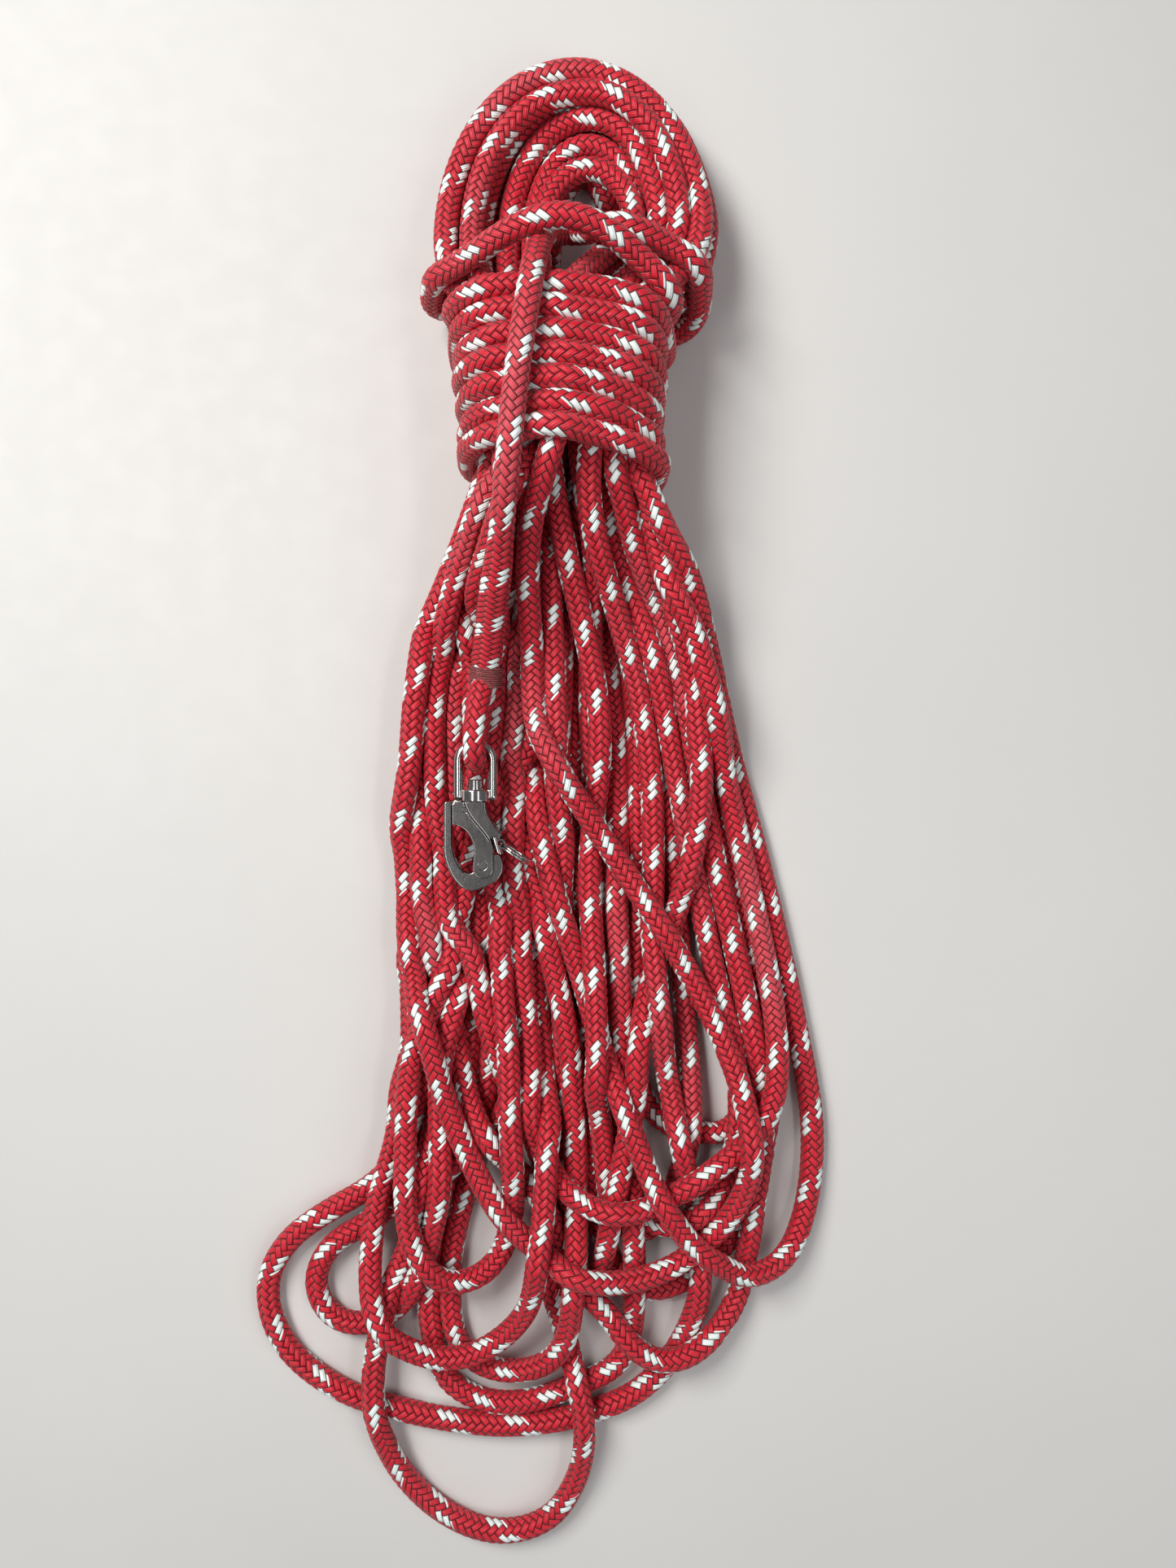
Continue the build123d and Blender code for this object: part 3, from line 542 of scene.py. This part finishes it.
class Nodes:
    """Short ways to write a material's node tree."""

    def __init__(self, name):
        self.material = bpy.data.materials.new(name)
        self.material.use_nodes = True
        self.tree = self.material.node_tree
        self.shader = self.tree.nodes["Principled BSDF"]

    def link(self, value, socket):
        if isinstance(value, bpy.types.NodeSocket):
            self.tree.links.new(value, socket)
        else:
            socket.default_value = value

    def math(self, operation, first, second=0.0, third=0.0):
        node = self.tree.nodes.new("ShaderNodeMath")
        node.operation = operation
        for value, socket in zip((first, second, third), node.inputs):
            self.link(value, socket)
        return node.outputs[0]

    def uv(self, layer):
        node = self.tree.nodes.new("ShaderNodeUVMap")
        node.uv_map = layer
        split = self.tree.nodes.new("ShaderNodeSeparateXYZ")
        self.tree.links.new(node.outputs[0], split.inputs[0])
        return node.outputs[0], split.outputs[0], split.outputs[1]

    def position(self):
        return self.tree.nodes.new("ShaderNodeTexCoord").outputs["Object"]

    def scaled(self, vector, scale):
        node = self.tree.nodes.new("ShaderNodeMapping")
        self.tree.links.new(vector, node.inputs["Vector"])
        node.inputs["Scale"].default_value = scale
        return node.outputs[0]

    def noise(self, vector, scale, detail=2.0, roughness=0.5):
        node = self.tree.nodes.new("ShaderNodeTexNoise")
        self.tree.links.new(vector, node.inputs["Vector"])
        node.inputs["Scale"].default_value = scale
        node.inputs["Detail"].default_value = detail
        node.inputs["Roughness"].default_value = roughness
        return node.outputs[0]

    def ramp(self, value, low, high, low_to=0.0, high_to=1.0):
        node = self.tree.nodes.new("ShaderNodeMapRange")
        node.interpolation_type = "SMOOTHSTEP"
        for item, socket in zip((value, low, high, low_to, high_to), node.inputs):
            self.link(item, socket)
        return node.outputs[0]

    def mix(self, share, first, second):
        node = self.tree.nodes.new("ShaderNodeMix")
        node.data_type = "RGBA"
        self.link(share, node.inputs[0])
        self.link(first, node.inputs[6])
        self.link(second, node.inputs[7])
        return node.outputs[2]

    def rounded(self, radius):
        """Edges that catch the light, as the tumbled castings' edges do."""
        node = self.tree.nodes.new("ShaderNodeBevel")
        node.samples = 16
        node.inputs["Radius"].default_value = radius
        return node.outputs[0]

    def bump(self, height, strength, distance, normal=None):
        node = self.tree.nodes.new("ShaderNodeBump")
        node.inputs["Strength"].default_value = strength
        node.inputs["Distance"].default_value = distance
        self.tree.links.new(height, node.inputs["Height"])
        if normal is not None:
            self.tree.links.new(normal, node.inputs["Normal"])
        return node.outputs[0]

    def set(self, **values):
        for name, value in values.items():
            self.link(value, self.shader.inputs[name.replace("_", " ")])


# Each braid colour has a lit form and a darker form, which is painted shade for the valleys between the
# carriers.
CRIMSON = (0.640, 0.0120, 0.0300, 1.0)
CRIMSON_PAINTED_SHADE = (0.110, 0.0020, 0.0050, 1.0)
FADED = (0.700, 0.0950, 0.1200, 1.0)
FADED_PAINTED_SHADE = (0.180, 0.0150, 0.0220, 1.0)
TRACER = (0.860, 0.930, 0.900, 1.0)
TRACER_PAINTED_SHADE = (0.300, 0.270, 0.260, 1.0)


def braid_material():
    """Sixteen carriers, eight each way, over two and under two, three yarns each.
    Of the eight that go one way two are white, and so is one yarn of a third."""
    n = Nodes("braided_polyester")
    _, u, v = n.uv("weave")
    columns = n.math("MULTIPLY", u, COLUMNS)
    rows = n.math("MULTIPLY", v, COLUMNS)
    right = n.math("SUBTRACT", rows, columns)
    left = n.math("ADD", rows, columns)
    found = []
    for across, along_carrier, shift in ((right, left, 1.0), (left, right, 2.0)):
        carrier = n.math("FLOOR", across)
        part = n.math("FRACT", across)
        phase = n.math("FLOORED_MODULO", n.math("SUBTRACT", along_carrier, carrier), 4.0)
        reach = n.math("SUBTRACT", phase, shift)
        squared = n.math("MULTIPLY", reach, reach)
        ends = n.math("SUBTRACT", 1.0, n.math("MULTIPLY", squared, squared))
        centred = n.math("MULTIPLY_ADD", part, 2.0, -1.0)
        centred_squared = n.math("MULTIPLY", centred, centred)
        sides = n.math("SUBTRACT", 1.0, n.math("MULTIPLY", centred_squared, n.math("ABSOLUTE", centred)))
        shows = n.math("GREATER_THAN", ends, 0.0)
        height = n.math("MULTIPLY", n.math("MAXIMUM", ends, 0.0), sides)
        yarn_centred = n.math("MULTIPLY_ADD", n.math("FRACT", n.math("MULTIPLY", part, 3.0)), 2.0, -1.0)
        yarn = n.math("SUBTRACT", 1.0, n.math("MULTIPLY", yarn_centred, yarn_centred))
        stitch = n.tree.nodes.new("ShaderNodeCombineXYZ")
        n.tree.links.new(carrier, stitch.inputs[0])
        n.tree.links.new(n.math("FLOOR", n.math("DIVIDE", along_carrier, 2.0)), stitch.inputs[1])
        random = n.tree.nodes.new("ShaderNodeTexWhiteNoise")
        n.tree.links.new(stitch.outputs[0], random.inputs["Vector"])
        found.append((shows, height, yarn, random.outputs["Value"], carrier, part))
    (a_shows, height_a, yarn_a, random_a, carrier_a, part_a) = found[0]
    (_, height_b, yarn_b, random_b, _, _) = found[1]
    b_shows = n.math("SUBTRACT", 1.0, a_shows)

    def shown(value_a, value_b):
        return n.math("MULTIPLY_ADD", value_a, a_shows, n.math("MULTIPLY", value_b, b_shows))

    index = n.math("FLOORED_MODULO", carrier_a, COLUMNS)
    whole = n.math("COMPARE", index, 1.5, 0.6)
    one_yarn = n.math("MULTIPLY", n.math("COMPARE", index, 0.0, 0.2), n.math("GREATER_THAN", part_a, 0.66))
    white = n.math("MULTIPLY", a_shows, n.math("MAXIMUM", whole, one_yarn))
    height = shown(height_a, height_b)
    yarn = shown(yarn_a, yarn_b)
    random = shown(random_a, random_b)
    place = n.position()
    joined = n.tree.nodes.new("ShaderNodeCombineXYZ")
    n.tree.links.new(n.math("MULTIPLY", v, 0.055), joined.inputs[0])
    wear_long = n.noise(joined.outputs[0], 3.0, 1.0)
    wear_patch = n.noise(place, 16.0, 3.0)
    wear = n.math("MULTIPLY", n.ramp(wear_long, 0.55, 0.70), n.ramp(wear_patch, 0.34, 0.60))
    mottle = n.noise(place, 900.0, 3.0)
    # Painted light and shade: the carriers' crowns and the middle of each yarn are painted lighter, and
    # the valleys between them darker. Random tone per stitch and fine mottle are mixed in. The white
    # tracers get the same painted shade.
    crown = n.ramp(height, 0.05, 0.85)
    painted_crown_and_yarn_light = n.math("MULTIPLY_ADD", yarn, 0.30, n.math("MULTIPLY", crown, 0.70))
    painted_light_and_tone = n.math("MULTIPLY_ADD", random, 0.16, n.math("MULTIPLY_ADD", mottle, 0.20, painted_crown_and_yarn_light))
    shade = n.ramp(painted_light_and_tone, 0.18, 1.15)
    red = n.mix(shade, CRIMSON_PAINTED_SHADE, CRIMSON)
    faded = n.mix(shade, FADED_PAINTED_SHADE, FADED)
    tracer = n.mix(n.ramp(painted_crown_and_yarn_light, 0.05, 0.55), TRACER_PAINTED_SHADE, TRACER)
    coloured = n.mix(n.math("MULTIPLY", wear, 0.8), red, faded)
    n.set(Base_Color=n.mix(white, coloured, tracer))
    n.set(Roughness=n.ramp(mottle, 0.3, 0.7, 0.36, 0.56))
    n.set(Specular_IOR_Level=0.42, Sheen_Weight=0.10, Sheen_Roughness=0.45)
    relief = n.math("MULTIPLY_ADD", n.math("POWER", height, 0.6), 0.80, n.math("MULTIPLY", yarn, 0.16))
    coarse = n.bump(relief, 1.0, 0.0011)
    n.set(Normal=n.bump(mottle, 0.20, 0.00025, coarse))
    return n.material


def steel_material(name, colour, smooth, rough, scratch, edge=0.0):
    n = Nodes(name)
    place = n.position()
    cloud = n.noise(place, 120.0, 4.0)
    brush = n.noise(n.scaled(place, (1.0, 0.12, 1.0)), 1500.0, 3.0)
    stain = n.ramp(n.noise(place, 210.0, 5.0, 0.65), 0.52, 0.72)
    dull = tuple(channel * 0.72 for channel in colour[:3]) + (1.0,)
    n.set(Base_Color=n.mix(n.math("MULTIPLY", stain, 0.5), colour, dull), Metallic=1.0)
    mixed = n.math("MULTIPLY_ADD", brush, 0.5, n.math("MULTIPLY", cloud, 0.5))
    n.set(Roughness=n.ramp(mixed, 0.3, 0.7, smooth, rough))
    n.set(Normal=n.bump(mixed, scratch, 0.0002, n.rounded(edge) if edge else None))
    return n.material


def twine_material():
    n = Nodes("whipping_twine")
    place = n.position()
    strand = n.noise(n.scaled(place, (1.0, 2.2, 1.0)), 900.0, 3.0)
    dirt = n.noise(place, 190.0, 3.0)
    base = n.mix(n.ramp(strand, 0.3, 0.7), (0.130, 0.022, 0.025, 1), (0.360, 0.095, 0.095, 1))
    n.set(Base_Color=n.mix(n.math("MULTIPLY", n.ramp(dirt, 0.45, 0.7), 0.5), base, (0.12, 0.05, 0.045, 1)))
    n.set(Roughness=n.ramp(strand, 0.3, 0.7, 0.5, 0.75), Specular_IOR_Level=0.35)
    n.set(Normal=n.bump(strand, 0.5, 0.0003))
    return n.material


def floor_material():
    n = Nodes("pale_floor")
    place = n.position()
    tone = n.noise(place, 2.5, 3.0)
    n.set(Base_Color=n.mix(tone, (0.60, 0.59, 0.57, 1), (0.70, 0.69, 0.67, 1)))
    n.set(Roughness=n.ramp(n.noise(place, 60.0, 3.0), 0.3, 0.7, 0.62, 0.78))
    n.set(Normal=n.bump(n.noise(place, 300.0, 2.0), 0.05, 0.0005))
    return n.material


braid = braid_material()
polished = steel_material("polished_steel", (0.52, 0.50, 0.48, 1.0), 0.13, 0.17, 0.003)
brushed = steel_material("brushed_steel", (0.255, 0.243, 0.232, 1.0), 0.19, 0.25, 0.004, 0.0008)
wire_steel = steel_material("steel_wire", (0.50, 0.49, 0.47, 1.0), 0.14, 0.20, 0.004)
twine = twine_material()


def dress(piece, material):
    piece.data.materials.clear()
    piece.data.materials.append(material)


dress(rope, braid)

# ---- Whipping: one length of twine wound round the throat ----

THROAT_END = Vector((-0.026, 0.069, 0.040))
THROAT_NEXT = Vector((-0.025, 0.082, 0.0435))
TWINE_D, TWINE_TURNS, WHIPPING_START = 0.0011, 9, 0.0010


def twine_winding():
    """A round of twine for each turn, from a path that winds up the throat."""
    axis = (THROAT_NEXT - THROAT_END).normalized()
    side = axis.cross(Vector((0, 0, 1))).normalized()
    up = side.cross(axis)
    steps = 40
    path = []
    for step in range(TWINE_TURNS * steps + 1):
        turn = step / steps
        angle = 2 * math.pi * turn
        out = THROAT_D / 2 + TWINE_D * 0.42 + 0.00012 * math.sin(3.1 * turn)
        centre = THROAT_END + axis * (WHIPPING_START + TWINE_D * (turn + 0.02 * math.sin(5 * turn)))
        path.append(centre + side * (out * math.cos(angle)) + up * (out * math.sin(angle)))
    return np.array(path)


def twisted_tube(name, path, tube_radius, around, strands, twist_per_metre):
    """A round cord of twisted strands along a path."""
    sides, ups = rotation_free_frames(path)
    steps = np.concatenate([[0.0], np.cumsum(np.linalg.norm(np.diff(path, axis=0), axis=1))])
    spokes = 2 * math.pi * np.arange(around) / around
    lobes = np.abs(np.cos(strands / 2 * (spokes[None, :] + steps[:, None] * twist_per_metre)))
    reach = tube_radius * (0.86 + 0.14 * lobes)
    verts = path[:, None, :] + reach[..., None] * (
        np.cos(spokes)[None, :, None] * sides[:, None, :] + np.sin(spokes)[None, :, None] * ups[:, None, :]
    )
    faces = []
    for ring in range(len(path) - 1):
        for spoke in range(around):
            beyond = (spoke + 1) % around
            low, high = ring * around, (ring + 1) * around
            faces.append((low + spoke, low + beyond, high + beyond, high + spoke))
    faces.append(tuple(reversed(range(around))))
    faces.append(tuple((len(path) - 1) * around + spoke for spoke in range(around)))
    mesh = bpy.data.meshes.new(name)
    mesh.from_pydata(verts.reshape(-1, 3).tolist(), [], faces)
    mesh.polygons.foreach_set("use_smooth", np.ones(len(faces), dtype=bool))
    mesh.update()
    piece = bpy.data.objects.new(name, mesh)
    bpy.context.scene.collection.objects.link(piece)
    return piece


whipping = twisted_tube("whipping_twine", twine_winding(), TWINE_D / 2, 10, 3, 2200.0)
dress(whipping, twine)

# ---- The shackle keeps its CAD shape, with finer materials ----

STEEL = {
    "swivel_bail": polished,
    "swivel_post": polished,
    "swivel_washer": polished,
    "shackle_body": brushed,
    "shackle_jaw": brushed,
    "nose_pin": polished,
    "jaw_rivet": polished,
    "plunger": polished,
    "plunger_spring": wire_steel,
    "pull_ring": wire_steel,
}
for node, material in STEEL.items():
    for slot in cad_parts[node].material_slots:
        slot.material = material

# ---- The line and the whipping stand for their CAD solids ----

ROPE_NODES = (
    "hank_wraps", "hank_head", "skirt_upper", "skirt_lower", "hank_fan", "loop_bottom", "loop_left",
    "loop_left_small", "loop_right", "locking_turn", "locking_turn_inner", "tail_cover", "tail_core",
    "throat_cover", "throat_core", "rope_eye",
)
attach(rope, "root")
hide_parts(*ROPE_NODES)
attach(whipping, "root")
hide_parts("eye_whipping")

# ---- Floor, light and surroundings ----

bpy.ops.mesh.primitive_plane_add(size=6.0, location=(0.0, 0.0, -0.0002))
floor = bpy.context.object
floor.name = "floor"
dress(floor, floor_material())


def soft_box(name, place, aim, size, power, colour):
    light = bpy.data.lights.new(name, "AREA")
    light.shape = "RECTANGLE"
    light.size, light.size_y = size
    light.energy = power
    light.color = colour
    holder = bpy.data.objects.new(name, light)
    holder.location = place
    holder.rotation_euler = (Vector(aim) - Vector(place)).to_track_quat("-Z", "Y").to_euler()
    bpy.context.scene.collection.objects.link(holder)


soft_box("key", (-0.72, 0.72, 1.25), (0.0, 0.0, 0.0), (0.50, 0.70), 22.0, (1.0, 0.985, 0.96))
soft_box("fill", (0.85, -0.55, 1.15), (0.0, 0.0, 0.0), (0.55, 1.10), 4.5, (0.95, 0.98, 1.0))
soft_box("strip_left", (-0.42, 0.0, 1.20), (-0.42, 0.0, 0.0), (0.14, 1.20), 3.5, (1.0, 1.0, 1.0))
soft_box("strip_right", (0.50, 0.0, 1.10), (0.50, 0.0, 0.0), (0.12, 1.00), 1.5, (1.0, 1.0, 1.0))

world = bpy.data.worlds.new("studio")
world.use_nodes = True
world.node_tree.nodes["Background"].inputs["Color"].default_value = (0.93, 0.95, 1.0, 1.0)
world.node_tree.nodes["Background"].inputs["Strength"].default_value = 0.16
bpy.context.scene.world = world
bpy.context.scene.view_settings.view_transform = "Standard"
